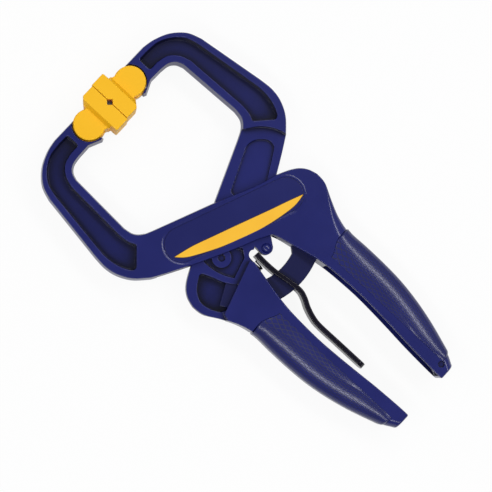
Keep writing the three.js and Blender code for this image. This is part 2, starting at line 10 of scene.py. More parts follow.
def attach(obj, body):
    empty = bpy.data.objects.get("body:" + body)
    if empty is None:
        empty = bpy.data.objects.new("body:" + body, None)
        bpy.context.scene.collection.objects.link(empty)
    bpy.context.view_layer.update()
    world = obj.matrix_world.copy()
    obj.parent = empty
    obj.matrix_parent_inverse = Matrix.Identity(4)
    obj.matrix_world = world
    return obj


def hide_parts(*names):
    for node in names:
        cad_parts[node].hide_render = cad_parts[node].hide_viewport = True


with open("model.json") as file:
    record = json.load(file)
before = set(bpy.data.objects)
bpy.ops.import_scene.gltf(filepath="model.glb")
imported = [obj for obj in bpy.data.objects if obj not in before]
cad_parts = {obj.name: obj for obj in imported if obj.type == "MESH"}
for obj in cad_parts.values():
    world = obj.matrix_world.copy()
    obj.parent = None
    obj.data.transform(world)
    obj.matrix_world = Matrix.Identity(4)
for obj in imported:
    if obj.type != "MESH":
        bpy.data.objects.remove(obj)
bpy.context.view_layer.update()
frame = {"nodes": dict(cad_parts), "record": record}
print("frame loaded:", len(frame["nodes"]), "nodes")

# Shapes are drawn in millimetres from the pivot's middle, with the jaws toward +X.
# placed() sets them in the frame, in metres.
jointPlaces = {joint["name"]: joint["pos_m"] for joint in frame["record"]["behaviour"]["joints"]}
pivot = np.array(jointPlaces["jaw_pivot"]) * 1000


# Millimetres. Outline points and mesh corners closer than these are one, and cutters reach
# `past` a face.
fine = {"doubled": 0.02, "merged": 0.004, "sliver": 0.002}
past = 1


# A smooth curve through the points. `place` counts the spans between them.
def curvePoint(points, place):
    last = len(points) - 1
    i = min(int(place), last - 1)
    w = place - i
    before, a, b, after = points[max(i - 1, 0)], points[i], points[i + 1], points[min(i + 2, last)]
    leave, arrive = (b - before) / 2, (after - a) / 2
    return ((2 * a - 2 * b + leave + arrive) * w**3 + (3 * b - 3 * a - 2 * leave - arrive) * w**2
            + leave * w + a)


def splineRun(points, steps):
    points = np.array(points, float)
    return [curvePoint(points, k / steps) for k in range((len(points) - 1) * steps + 1)]


# A pen that draws one closed outline.
class Outline:
    def __init__(self, *start):
        self.points = [np.array(start, float)]

    def line(self, *points):
        self.points += [np.array(p, float) for p in points]
        return self

    def smooth(self, points, steps=6):
        self.points += splineRun([self.points[-1], *points], steps)[1:]
        return self

    def bend(self, control, end, steps=6):
        start, control, end = self.points[-1], np.array(control, float), np.array(end, float)
        for k in range(1, steps + 1):
            w = k / steps
            self.points.append(start * (1 - w) ** 2 + control * 2 * w * (1 - w) + end * w**2)
        return self

    def arc(self, centre, radius, start, stop, spacing=1.2):
        steps = max(4, round(abs(stop - start) * radius / spacing))
        for k in range(steps + 1):
            turn = start + (stop - start) * k / steps
            self.points.append(np.array(centre) + radius * np.array([math.cos(turn), math.sin(turn)]))
        return self

    # Counter-clockwise, without doubled points.
    def done(self):
        kept = [p for i, p in enumerate(self.points)
                if np.linalg.norm(p - self.points[i - 1]) > fine["doubled"]]
        run = np.array(kept)
        x, y = run.T
        return run if np.dot(x, np.roll(y, -1)) > np.dot(y, np.roll(x, -1)) else run[::-1]


def polygon(*points):
    return Outline(*points[0]).line(*points[1:]).done()


def disc(centre, radius, count=48):
    turns = 2 * math.pi * np.arange(count) / count
    return np.array(centre) + radius * np.stack([np.cos(turns), np.sin(turns)], 1)


def stadium(a, b, radius):
    turn = math.atan2(b[1] - a[1], b[0] - a[0])
    quarter = math.pi / 2
    pen = Outline(b[0] + radius * math.cos(turn - quarter), b[1] + radius * math.sin(turn - quarter))
    for centre, start in ((b, turn - quarter), (a, turn + quarter)):
        pen.arc(centre, radius, start, start + 2 * quarter, 0.9)
    return pen.done()


def ringPart(inner, outer, start, stop):
    start, stop = math.radians(start), math.radians(stop)
    pen = Outline(outer * math.cos(start), outer * math.sin(start))
    return pen.arc((0, 0), outer, start, stop).arc((0, 0), inner, stop, start).done()


def polar(radius, degrees):
    return (radius * math.cos(math.radians(degrees)), radius * math.sin(math.radians(degrees)))


# The outline moved inward, each corner along its mitre.
def inset(outline, amount):
    if amount == 0:
        return outline
    ahead = np.roll(outline, -1, 0) - outline
    ahead /= np.linalg.norm(ahead, axis=1)[:, None]
    behind = np.roll(ahead, 1, 0)
    mitre = np.stack([-ahead[:, 1] - behind[:, 1], ahead[:, 0] + behind[:, 0]], 1)
    size = np.maximum((mitre**2).sum(1), 0.7)
    return outline + mitre * (2 * amount / size)[:, None]


# A solid is a pair of points and faces. These faces join rings of points and close both ends.
def ringFaces(rings, count):
    faces = []
    for r in range(rings - 1):
        for i in range(count):
            a, b = r * count + i, r * count + (i + 1) % count
            faces.append((a, b, b + count, a + count))
    top = (rings - 1) * count
    return faces + [tuple(range(count))[::-1], tuple(range(top, top + count))]


def quarterTurn(steps):
    return [math.pi / 2 * k / steps for k in range(steps + 1)]


# Rings of the outline at (height, inset) steps, closed top and bottom.
def layered(outline, steps):
    points = [(x, y, z) for z, amount in steps for x, y in inset(outline, amount)]
    return points, ringFaces(len(steps), len(outline))


def slab(outline, low, high):
    return layered(outline, [(low, 0), (high, 0)])


# Quarter-round edges on both faces.
def rounded(outline, low, high, radius, count=4):
    turns = quarterTurn(count)
    foot = [(low + radius * (1 - math.cos(a)), radius * (1 - math.sin(a))) for a in turns]
    head = [(high - radius * (1 - math.cos(a)), radius * (1 - math.sin(a))) for a in turns[::-1]]
    return layered(outline, foot + head)


def softRim(top, rim):
    return [(top - rim + rim * math.sin(a), -rim * (1 - math.cos(a))) for a in quarterTurn(3)]


# A cutter with sloped walls, a soft rim where it leaves the face at `top`, and a soft foot.
def pocketCutter(outline, floor, top, slope=0.5, rim=0.45, foot=0.7):
    bend = [(floor + foot * (1 - math.cos(a)), slope + foot * (1 - math.sin(a))) for a in quarterTurn(3)]
    return layered(outline, [*bend, *softRim(top, rim), (top + 3 * past, -rim)])


def flipped(shape):
    points, faces = shape
    return [(x, y, -z) for x, y, z in points], [face[::-1] for face in faces]


# A skin over closed rings, with a flat end at each.
def lofted(rings):
    return outward(([tuple(p) for ring in rings for p in ring], ringFaces(len(rings), len(rings[0]))))


# Faces turned to look out, whichever way the rings ran.
def outward(shape):
    points, faces = shape
    volume = 0
    for face in faces:
        a = np.array(points[face[0]])
        for j, k in zip(face[1:-1], face[2:]):
            volume += np.dot(a, np.cross(points[j], points[k]))
    return shape if volume > 0 else (points, [face[::-1] for face in faces])


# A thin closed shell between two grids of the same size.
def shell(outer, inner):
    rows, columns = len(outer), len(outer[0])
    points = [tuple(p) for grid in (outer, inner) for row in grid for p in row]
    under = rows * columns
    at = lambda r, c, level: level * under + r * columns + c
    faces = []
    for r in range(rows - 1):
        for c in range(columns - 1):
            for level in (0, 1):
                face = (at(r, c, level), at(r, c + 1, level), at(r + 1, c + 1, level), at(r + 1, c, level))
                faces.append(face if level == 0 else face[::-1])
    edge = [(0, c) for c in range(columns)] + [(r, columns - 1) for r in range(1, rows)]
    edge += [(rows - 1, c) for c in range(columns - 2, -1, -1)] + [(r, 0) for r in range(rows - 2, 0, -1)]
    for (r, c), (r2, c2) in zip(edge, edge[1:] + edge[:1]):
        faces.append((at(r2, c2, 0), at(r, c, 0), at(r, c, 1), at(r2, c2, 1)))
    return outward((points, faces))


# A round wire along a run of points, with a flat end at each.
def wire(run, radius, sides=12):
    run = np.array(run, float)
    ahead = np.gradient(run, axis=0)
    ahead /= np.linalg.norm(ahead, axis=1)[:, None]
    side = np.cross(ahead[0], [0.3, 0.5, 0.8])  # any direction that the wire doesn't start in
    rings = []
    for place, way in zip(run, ahead):
        side = side - way * np.dot(side, way)
        side /= np.linalg.norm(side)
        other = np.cross(way, side)
        rings.append([place + radius * (math.cos(a) * side + math.sin(a) * other)
                      for a in 2 * math.pi * np.arange(sides) / sides])
    return lofted(rings)


def spun(profile, count=64):
    rings = [[(r * math.cos(a), r * math.sin(a), z) for a in 2 * math.pi * np.arange(count) / count]
             for r, z in profile]
    return lofted(rings)


def rawObject(name, shape):
    data = bpy.data.meshes.new(name)
    data.from_pydata([tuple(p) for p in shape[0]], [], shape[1])
    made = bpy.data.objects.new(name, data)
    bpy.context.scene.collection.objects.link(made)
    return made


# Starts from one solid and adds ("+") or cuts ("-") the others in turn.
def worked(name, base, *steps):
    made = rawObject(name, base)
    tools = []
    for i, (sign, shape) in enumerate(steps):
        tool = rawObject(f"tool{i}", shape)
        step = made.modifiers.new(f"step{i}", "BOOLEAN")
        step.solver = "MANIFOLD"
        step.operation = {"+": "UNION", "-": "DIFFERENCE", "&": "INTERSECT"}[sign]
        step.object = tool
        tools.append(tool)
    if steps:
        whole = bpy.data.meshes.new_from_object(made.evaluated_get(bpy.context.evaluated_depsgraph_get()))
        made.modifiers.clear()
        made.data = whole
    for tool in tools:
        bpy.data.objects.remove(tool)
    if not made.data.polygons:
        raise RuntimeError(f"{name} came out empty")
    return made


# Into the frame, in metres. `turnedOver` mirrors it, for the arm with its jaw at -Y.
def placed(made, turnedOver=False, creases=40, weighted=True):
    mesh = bmesh.new()
    mesh.from_mesh(made.data)
    bmesh.ops.remove_doubles(mesh, verts=mesh.verts, dist=fine["merged"])
    bmesh.ops.dissolve_degenerate(mesh, edges=mesh.edges, dist=fine["sliver"])
    for vert in mesh.verts:
        if turnedOver:
            vert.co.y = -vert.co.y
        vert.co = (vert.co + Vector(pivot)) / 1000
    if turnedOver:
        bmesh.ops.reverse_faces(mesh, faces=mesh.faces)
    mesh.to_mesh(made.data)
    mesh.free()
    made.data.shade_smooth()
    made.data.set_sharp_from_angle(angle=math.radians(creases))
    if weighted:
        even = made.modifiers.new("evenShading", "WEIGHTED_NORMAL")
        even.keep_sharp = True
        even.weight = 60  # large faces keep their flat shading
    return made


# Gives a piece its look and body. With a node it stands in for that CAD node.
def fit(made, body, node, look):
    made.data.materials.clear()
    made.data.materials.append(look)
    if node:
        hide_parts(node)
    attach(made, body)
    return made


# One value, colour or vector in a material. Operators on values add Math nodes.
class Flow:
    def __init__(self, finish, socket):
        self.finish = finish
        self.socket = socket

    def maths(self, operation, *others):
        inputs = {i: other for i, other in enumerate(others)}
        return self.finish.node("ShaderNodeMath", {"operation": operation}, inputs)

    def __add__(self, other):
        return self.maths("ADD", self, other)

    def __radd__(self, other):
        return self.maths("ADD", other, self)

    def __sub__(self, other):
        return self.maths("SUBTRACT", self, other)

    def __rsub__(self, other):
        return self.maths("SUBTRACT", other, self)

    def __mul__(self, other):
        return self.maths("MULTIPLY", self, other)

    def __rmul__(self, other):
        return self.maths("MULTIPLY", other, self)

    def wave(self, length=1):
        return self.maths("PINGPONG", self, length)

    def lower(self, other):
        return self.maths("MINIMUM", self, other)

    def higher(self, other):
        return self.maths("MAXIMUM", self, other)

    # 0 below `start`, 1 above `stop`, smooth between
    def rise(self, start, stop):
        return self.finish.node("ShaderNodeMapRange", {"interpolation_type": "SMOOTHSTEP"},
                                {"Value": self, "From Min": start, "From Max": stop})


class Finish:
    def __init__(self, name, plain):
        self.material = bpy.data.materials.new(name)
        self.material.use_nodes = True
        self.tree = self.material.node_tree
        self.shader = self.tree.nodes["Principled BSDF"]
        for socket, value in plain.items():
            self.set(self.shader.inputs[socket], value)

    def set(self, socket, value):
        if isinstance(value, Flow):
            self.tree.links.new(value.socket, socket)
        elif socket.type == "RGBA" and len(value) == 3:
            socket.default_value = (*value, 1)
        else:
            socket.default_value = value

    # Any node: its type, its settings, then the values or links of its sockets.
    def node(self, kind, settings=None, inputs=None, output=0):
        made = self.tree.nodes.new(kind)
        for name, value in (settings or {}).items():
            setattr(made, name, value)
        for name, value in (inputs or {}).items():
            self.set(made.inputs[name], value)
        return Flow(self, made.outputs[output])

    # Position on the object, in metres in the frame
    def place(self):
        return self.node("ShaderNodeTexCoord", output="Object")

    def axes(self):
        return self.split(self.place())

    def split(self, vector):
        parts = self.node("ShaderNodeSeparateXYZ", inputs={0: vector}).socket.node
        return [Flow(self, socket) for socket in parts.outputs]

    def noise(self, scale, detail=3, roughness=0.5):
        return self.node("ShaderNodeTexNoise", {},
                         {"Vector": self.place(), "Scale": scale, "Detail": detail, "Roughness": roughness})

    def blend(self, factor, low, high):
        return self.node("ShaderNodeMix", {"data_type": "RGBA"}, {0: factor, 6: low, 7: high}, 2)

    # Nearly 0 in deep pockets and 1 on open faces: the mask for painted shade
    def openness(self, reach):
        return self.node("ShaderNodeAmbientOcclusion", {"samples": 8, "only_local": True},
                         {"Distance": reach}, 1)

    def bump(self, height, depth, strength=1.0):
        lifted = self.node("ShaderNodeBump", {}, {"Height": height, "Distance": depth, "Strength": strength})
        self.set(self.shader.inputs["Normal"], lifted)

    def feed(self, **flows):
        names = {"colour": "Base Color", "roughness": "Roughness", "metal": "Metallic"}
        for name, flow in flows.items():
            self.set(self.shader.inputs[names[name]], flow)


# Moulded plastic: clouded colour, fine grain and a slow ripple. `shade` paints shade into the
# colour in the depths of its pockets.
def mouldedResin(name, colour, paler, rough, shine=0.42, shade=None):
    finish = Finish(name, {"Specular IOR Level": shine})
    cloud = finish.noise(35, 2)
    grain = finish.noise(2600, 2, 0.6)
    ripple = finish.noise(260, 2)
    skin = finish.blend(cloud.rise(0.3, 0.75), colour, paler)
    if shade:
        # Painted shade: a darker copy of the colour, blended in where the pocket is deep
        deep = tuple(shade["darker"] * c for c in colour)
        skin = finish.blend(finish.openness(shade["reach"]).rise(*shade["open"]), deep, skin)
    finish.feed(colour=skin, roughness=rough - 0.05 + 0.1 * grain.rise(0.2, 0.8))
    finish.bump(0.7 * grain + 0.6 * ripple, 0.00004, 0.5)
    return finish.material


# The arms' `shade` paints shade into their pockets.
armLook = {"colour": (0.009, 0.0125, 0.12), "paler": (0.0122, 0.0162, 0.142), "rough": 0.2,
           "shade": {"darker": 0.24, "reach": 0.018, "open": (0.5, 0.94)}}
padLook = {"colour": (0.95, 0.51, 0.01), "paler": (0.97, 0.53, 0.014), "rough": 0.42, "shine": 0.25}
# The bar is the arms' blue plastic, darkened to about half with painted shade.
barShadedLook = {"colour": (0.0048, 0.0065, 0.058), "paler": (0.0066, 0.0085, 0.07), "rough": 0.22}
armResin = mouldedResin("armResin", **armLook)
padResin = mouldedResin("padResin", **padLook)
barShadedResin = mouldedResin("barShadedResin", **barShadedLook)

# Lozenges in millimetres and groove depth in metres. The grooves are duller than the field, and painted darker
# as shade.
knurl = {
    "along": 6.3, "across": 2.05, "edge": (0.02, 0.15), "groove": 0.00006, "strength": 0.16,
    "grooveShadeColour": (0.0045, 0.006, 0.052), "field": ((0.011, 0.0145, 0.126), (0.014, 0.018, 0.144)),
    "grooveRough": 0.36, "polish": 0.18,
}


# The rubber's lozenge knurl follows the sleeve's own map: u along it, v around it, in millimetres.
def knurledRubber():
    finish = Finish("gripRubber", {"Specular IOR Level": 0.5})
    u, v, _ = finish.split(finish.node("ShaderNodeUVMap", {"uv_map": "sleeveMap"}))
    along, across = u * (1 / knurl["along"]), v * (1 / knurl["across"])
    down = (along + across).wave(0.5)
    up = (along - across + 400).wave(0.5)  # far enough to stay above zero
    lozenge = down.lower(up).rise(*knurl["edge"])
    grain = finish.noise(2200, 2, 0.6)
    cloud = finish.noise(40, 2)
    field = finish.blend(cloud.rise(0.3, 0.7), *knurl["field"])
    # The grooves take a darker colour as painted shade.
    finish.feed(colour=finish.blend(lozenge, knurl["grooveShadeColour"], field),
                roughness=knurl["grooveRough"] - knurl["polish"] * lozenge + 0.03 * grain.rise(0.2, 0.8))
    finish.bump(lozenge, knurl["groove"], knurl["strength"])
    return finish.material


gripRubber = knurledRubber()


# Blackened strip and wire, with cloudy sheen and fine grain.
def coatedSteel(name, colour, rough):
    finish = Finish(name, {"Specular IOR Level": 0.34})
    grain = finish.noise(900, 3, 0.6)
    cloud = finish.noise(120, 3)
    finish.feed(colour=finish.blend(cloud.rise(0.35, 0.7), colour, tuple(1.6 * c for c in colour)),
                roughness=rough - 0.02 + 0.05 * cloud.rise(0.3, 0.7), metal=0.04 * grain.rise(0.3, 0.7))
    finish.bump(grain, 0.00001, 0.3)
    return finish.material


blackSteel = coatedSteel("blackSteel", (0.0028, 0.0022, 0.0085), 0.13)
springSteel = coatedSteel("springSteel", (0.012, 0.01, 0.018), 0.22)


# Steel turned on a lathe: rings about the pivot's middle.
def turnedSteel():
    finish = Finish("rivetSteel", {"Specular IOR Level": 0.5})
    x, y, _ = finish.axes()
    x, y = x - float(pivot[0] / 1000), y - float(pivot[1] / 1000)
    squared = x * x + y * y
    reach = squared.maths("SQRT", squared)
    rings = finish.node("ShaderNodeTexNoise", {"noise_dimensions": "1D"},
                        {"W": reach * 4000, "Scale": 1, "Detail": 2})
    finish.feed(colour=finish.blend(rings, (0.3, 0.3, 0.31), (0.45, 0.45, 0.46)),
                roughness=0.28 + 0.15 * rings, metal=0.95 + 0.05 * rings)
    finish.bump(rings, 0.00002, 0.5)
    return finish.material


rivetSteel = turnedSteel()
filmLook = {"colour": (0.009, 0.012, 0.108), "paler": (0.011, 0.0145, 0.12), "rough": 0.2}
stripeLook = {"colour": (0.95, 0.50, 0.022), "paler": (0.98, 0.54, 0.028), "rough": 0.36}
inkLook = {"colour": (0.03, 0.012, 0.02), "paler": (0.04, 0.018, 0.022), "rough": 0.4}
labelFilm = mouldedResin("labelFilm", **filmLook)
stripeFilm = mouldedResin("stripeFilm", **stripeLook)
outlineInk = mouldedResin("outlineInk", **inkLook)
print("materials made:", len(bpy.data.materials))


# The arm that both halves share, drawn with its jaw at +Y and its handle at -Y.
# The rails are the handle's inner and outer sides, seen from above.
arm = {
    "jawHalf": 8.5, "tongueHalf": 4, "webHalf": 1.6, "handleHalf": 13, "lean": 0.5, "band": 0.5, "rim": 0.5,
    "gap": 0.3, "padAxis": (117.2, 19.2), "seat": (117.4, 19.4), "seatRadius": 11.1, "seatRim": 0.35,
    "ridge": 5.5, "ridgeProud": 0.15, "trunnion": (3, 8), "boss": 5.4, "jawTip": 126.7, "barrel": 10.3,
    "tail": -162.1,
    "innerRail": [(-18, -9.6), (-24, -11.6), (-32, -13.6), (-42, -16), (-52, -17.9), (-64, -19.2),
                  (-84, -19.9), (-100, -19.4), (-116, -18.4), (-132, -17.2), (-148, -16.4),
                  (-155.5, -16.1), (-160.8, -16.1)],
    "outerRail": [(-12, -59.3), (-20, -58.4), (-31, -52.7), (-42, -47.8), (-54, -45.2), (-68, -45.4),
                  (-84, -45.3), (-100, -44.4), (-116, -42), (-132, -38.3), (-148, -33.4),
                  (-155.5, -30.8), (-160.8, -27.9)],
}
# Places along the rails are counted in spans between their points.
railEnd = len(arm["innerRail"]) - 1
bodyStart, plateEnd, neckEnd = 0.5, 1.1, 4
jawHalf, tongueHalf, gap = arm["jawHalf"], arm["tongueHalf"], arm["gap"]


def railPoint(rail, place):
    return curvePoint(np.array(arm[rail]), min(max(place, 0), railEnd))


# Half way up the moulded sides, before the pad's seat is cut out.
def plateOutline():
    tip = arm["jawTip"]
    pen = Outline(tip, 24.3).line((tip, 42)).smooth([(125, 50.5), (120.4, 60.4), (112.4, 68.5), (103, 72.2)])
    pen.line((56, 79.1)).smooth([(46.5, 79.7), (37.5, 77.9), (28.5, 73), (20.4, 64.6)])
    pen.smooth([(13.2, 52.2), (2, 31.2), (-8, 10.6), (-13, -1)])
    pen.line(*[railPoint("innerRail", k / 6 * plateEnd) for k in range(7)])
    pen.line(*[railPoint("outerRail", k / 6 * plateEnd) for k in range(6, -1, -1)])
    pen.smooth([(-5, -57), (1, -51.6), (6.6, -41), (12, -25.5), (23.7, 0)]).line((40.5, 40.6))
    pen.smooth([(43.8, 47.3), (48.5, 51.4), (55, 52.8)]).line((99, 51))
    pen.smooth([(103.9, 49), (107, 44.8), (108, 38.5)])
    return pen.line((108.2, 29.5), (104.4, 21), (105.1, 19.4), (108, 19.4)).done()


# A moulded side from the face down to the middle: (height lost, inset) at even steps. It is
# round at the rim and then slopes out.
def mouldedSide(half, count=9, rimShare=0.5):
    lean, rim = arm["lean"], arm["rim"]
    drop = half - arm["band"]
    run = []
    for k in range(count + 1):
        w = k / count / rimShare
        if w < 1:
            turn = w * math.pi / 2
            run.append((rim * (1 - math.cos(turn)), lean - 2 * lean * rim / drop + rim * (1 - math.sin(turn))))
        else:
            lost = rim + (drop - rim) * (w - 1) / (1 / rimShare - 1)
            run.append((lost, lean - 2 * lean * lost / drop))
    return run


def mouldedSlab(outline, half):
    side = mouldedSide(half)
    below = [(lost - half, amount) for lost, amount in side]
    return layered(outline, below + [(-z, amount) for z, amount in reversed(below)])


def ease(value):
    value = min(max(value, 0), 1)
    return value * value * (3 - 2 * value)


def plateInset(place):
    return 0.1 * (1 - ease((place - plateEnd * 0.7) / (plateEnd * 0.3)))


# Each pair is the span of places in which one thing grows or fades. The rest is in millimetres.
handle = {
    "swell": (1.3, neckEnd), "turn": (0.8, 2), "crispCorner": (3.9, 4.5), "softCorner": (1, 5.4),
    "tip": (9.2, 11.2), "tipDrop": 1.2, "tipCorner": (8.6, 10.8), "tipCornerDrop": 8,
    "cornerY": 13.3, "cornerZ": 11, "highestCorner": 8.3, "tipCornerZDrop": 1.3, "innerCorner": 0.7,
    "rings": 70, "endRings": 6, "endMiddle": -21, "endShrink": 0.3, "endTurn": math.pi / 2 * 0.9,
}


def share(place, span):
    return min(max((place - span[0]) / (span[1] - span[0]), 0), 1)


# Half thickness, outer corner size, and how far the section has turned from plate to handle.
# A crisp neck keeps its square edge up to the sleeve.
def handleSection(place, crisp=False):
    tip = ease(share(place, handle["tip"]))
    half = jawHalf - plateInset(place) - handle["tipDrop"] * tip
    half += (arm["handleHalf"] - jawHalf) * ease(share(place, handle["swell"]))
    grown = ease(share(place, handle["crispCorner"])) if crisp else share(place, handle["softCorner"])
    cornerY = arm["rim"] + handle["cornerY"] * grown
    cornerY -= handle["tipCornerDrop"] * ease(share(place, handle["tipCorner"]))
    highest = handle["highestCorner"] - handle["tipCornerZDrop"] * tip
    cornerZ = min(arm["rim"] + handle["cornerZ"] * grown, highest)
    return half, cornerY, cornerZ, ease(share(place, handle["turn"]))


def sectionPoint(place, y, z):
    inner, outer = railPoint("innerRail", place), railPoint("outerRail", place)
    x = inner[0] + (outer[0] - inner[0]) * (y - inner[1]) / (outer[1] - inner[1])
    return np.array([x, y, z])


# One side of the section from its face down: the plate's moulded side turning into a round corner.
def sideRun(half, turned, cornerY, cornerZ, count):
    run = []
    for k, (lost, amount) in enumerate(mouldedSide(half, count)):
        turn = k / count * math.pi / 2
        roundLost, roundAmount = cornerZ * (1 - math.cos(turn)), cornerY * (1 - math.sin(turn))
        run.append((lost + (roundLost - lost) * turned, amount + (roundAmount - amount) * turned))
    return run


# From the front lip round the outer side to the rear lip. `out` stands it off the handle's own skin.
def outerProfile(place, lip, out, corner=9, flat=3, crisp=False):
    half, cornerY, cornerZ, turned = handleSection(place, crisp)
    side = railPoint("outerRail", place)[1] - out + plateInset(place)
    bend = [(side + amount, half + out - lost)
            for lost, amount in sideRun(half, turned, cornerY, cornerZ, corner)]
    run = [(lip + (bend[0][0] - lip) * k / flat, half + out) for k in range(flat)] + bend
    return run + [(y, -z) for y, z in reversed(run)]


def handleRing(place, crisp):
    half, _, _, turned = handleSection(place, crisp)
    corner = handle["innerCorner"]
    side = railPoint("innerRail", place)[1] - plateInset(place)
    inner = [(side - amount, half - lost) for lost, amount in sideRun(half, turned, corner, corner, 9)]
    run = outerProfile(place, inner[0][0], 0, crisp=crisp)[:-1]
    run += [(y, -z) for y, z in inner] + [(y, z) for y, z in reversed(inner[1:])]
    return [sectionPoint(place, y, z) for y, z in run]


def handleBody(crisp):
    count, steps, stop = handle["rings"] - 1, handle["endRings"], handle["endTurn"]
    rings = [handleRing(bodyStart + (railEnd - bodyStart) * k / count, crisp) for k in range(count + 1)]
    last = np.array(rings[-1])
    middle = sectionPoint(railEnd, handle["endMiddle"], 0)
    for k in range(1, steps + 1):
        turn = k / steps * stop
        ring = last.copy()
        shrunk = 1 - handle["endShrink"] * (1 - math.cos(turn))
        ring[:, 1:] = middle[1:] + (last[:, 1:] - middle[1:]) * shrunk
        ring[:, 0] = last[:, 0] + (arm["tail"] - last[:, 0]) * math.sin(turn) / math.sin(stop)
        rings.append(ring)
    return lofted(rings)


# The sleeve runs from `start` to `stop` along the rails, `proud` of the handle. Its ends drop over
# `soft` millimetres, `tailSoft` times as far at the tail, and its sides rise slowly from the lips.
grip = {
    "start": 3.75, "stop": 10.85, "thick": 2.2, "proud": 0.9, "lip": -24.8, "slant": 0.52, "slantWidth": 14,
    "rows": 110, "corner": 12, "flat": 8, "long": 103, "soft": 1.0, "tailSoft": 5, "endDrop": 0.8,
    "rise": 14, "lipProud": 0.12, "columnWidth": 0.9,
}


# How far along the rails the sleeve starts: later at its lip than on its outer side.
def sleeveStart(y):
    return grip["start"] + grip["slant"] * (1 - ease((abs(y) - abs(grip["lip"])) / grip["slantWidth"]))


# How far the soft sleeve stands out at row r and column c.
def softLift(out, r, rows, c, columns):
    near = min(r, (rows - r) / grip["tailSoft"]) * grip["long"] / rows
    lift = out - grip["endDrop"] * (1 - math.sin(min(near / grip["soft"], 1) * math.pi / 2))
    fromLip = min(c, columns - 1 - c) * grip["columnWidth"]
    return min(lift, grip["lipProud"] + (out - grip["lipProud"]) * ease(fromLip / grip["rise"]))


def sleeveGrid(lip, out, margin=0.0, rows=None, softened=False):
    rows = rows or grip["rows"]
    shape = grip["corner"], grip["flat"]
    grid = []
    for r in range(rows + 1):
        row = []
        base = outerProfile(grip["start"] + (grip["stop"] - grip["start"]) * r / rows, lip, 0, *shape)
        for c, (y, _) in enumerate(base):
            start = sleeveStart(y) - margin
            place = start + (grip["stop"] + margin - start) * r / rows
            lift = softLift(out, r, rows, c, len(base)) if softened else out
            row.append(sectionPoint(place, *outerProfile(place, lip, lift, *shape)[c]))
        grid.append(row)
    return grid


def gripSleeve(name):
    outer = sleeveGrid(grip["lip"], grip["proud"], softened=True)
    inner = sleeveGrid(grip["lip"], grip["proud"] - grip["thick"])
    return rawObject(name, shell(outer, inner)), outer


# The room cut for the sleeve, a little beyond its lips and ends.
def gripRoom():
    lip, margin, rows = grip["lip"] + 0.06, 0.02, 40
    floor = grip["proud"] - grip["thick"] - gap
    return shell(sleeveGrid(lip, 6, margin, rows), sleeveGrid(lip, floor, margin, rows))


hollow = {
    "start": 4.45, "long": 7.2, "rings": 43, "wall": 1.8, "outerWall": 9.5, "shallowest": -19.5,
    "floor": [(3, 8.7), (0.9, 8.1), (0, 6.8)],
}


# The handle is open to the inside. Its walls stay level where they can be seen into.
def handleHollow():
    rings = []
    for k in range(hollow["rings"]):
        place = hollow["start"] + hollow["long"] * k / (hollow["rings"] - 1)
        near = railPoint("innerRail", place)[1]
        far = min(railPoint("outerRail", place)[1] + hollow["outerWall"], hollow["shallowest"])
        top = handleSection(place)[0] - hollow["wall"]
        run = [(near + 3, top), (near - 3, top), (near - 4, top - 1)]
        run += [(far + y, z) for y, z in hollow["floor"]]
        rings.append([sectionPoint(place, y, z) for y, z in run + [(y, -z) for y, z in reversed(run)]])
    return lofted(rings)


def jawPocket():
    pen = Outline(122.9, 41).smooth([(121.8, 50.7), (117.1, 59.2), (110, 65.3), (101.2, 67.9)])
    pen.line((54, 74.4)).bend((42, 75), (33.4, 69.6)).bend((31, 67.6), (32.4, 65.6)).line((41.2, 56))
    pen.bend((42.3, 54.9), (44.2, 56.2)).bend((48, 58.2), (55, 58.2)).line((98, 56.5))
    pen.smooth([(105.2, 54), (110.9, 48.7), (113.1, 41)]).line((113.1, 35.8)).bend((113.1, 33.8), (115.1, 33.8))
    return pen.line((120.9, 33.8)).bend((122.9, 33.8), (122.9, 35.8)).done()


def tonguePocket():
    pen = Outline(19, 11.9).bend((20.8, 11.7), (21.6, 13.4)).line((32.2, 37.2))
    pen.smooth([(33.9, 42.4), (32.2, 48.2), (28, 52.6)])
    pen.bend((24.5, 55.2), (20.8, 53.4)).bend((19.4, 52.2), (18.3, 50.2))
    return pen.line((6.4, 29.8)).bend((3.6, 23.4), (7.4, 15.4)).bend((12.4, 12), (19, 11.9)).done()


# The upper half of the round seat, cut down to its ridge, with a soft rim.
def padSeat():
    steps = [(arm["ridge"], 0), *softRim(jawHalf, arm["seatRim"]), (jawHalf + past, -arm["seatRim"])]
    return layered(disc(arm["seat"], arm["seatRadius"], 96), steps)


def bothFaces(cutter):
    return [("-", cutter), ("-", flipped(cutter))]


# The neck and its boss carry the trunnions inside the pad's slot.
def armSteps(crispNeck):
    x, y = arm["padAxis"]
    neck = polygon((x - 4.6, y), (x + 4.6, y), (x + 9, y + 9), (x + 9, y + 13),
                   (x - 9, y + 13), (x - 9, y + 9))
    ridge = disc(arm["padAxis"], arm["seatRadius"] - arm["ridgeProud"], 96)
    trunnion, reach = arm["trunnion"]
    return [
        ("+", handleBody(crispNeck)),
        *bothFaces(padSeat()),
        ("-", slab(ridge, -arm["ridge"] - 0.1, arm["ridge"] + 0.1)),
        *bothFaces(pocketCutter(jawPocket(), arm["webHalf"], jawHalf, 0.6, 0.55, 0.35)),
        ("-", handleHollow()),
        ("-", gripRoom()),
        ("+", slab(neck, -tongueHalf, tongueHalf)),
        ("+", slab(disc((x, y), arm["boss"]), -tongueHalf, tongueHalf)),
        ("+", slab(disc((x, y), trunnion, 32), -reach, reach)),
    ]


crossing = {"top": (-18.5, -12.5), "foot": (-30, -49.5), "frontRadius": 66.3, "backRadius": 65}


# Where one arm makes room for the other, from the shoulder round the pivot. A brow changes the
# arc's course where it crosses the root of the jaw.
def crossingZone(radius, shoulder, brow=()):
    foot = shoulder[-1]
    pen = Outline(*foot).line(*shoulder[-2::-1]).line((-40, -4), (-radius, 0))
    pen.arc((0, 0), radius, math.pi, math.radians(80), 1.5)
    if brow:
        pen.smooth(brow)
    return pen.arc((0, 0), radius, math.radians(38), math.atan2(foot[1], foot[0]), 1.5).done()


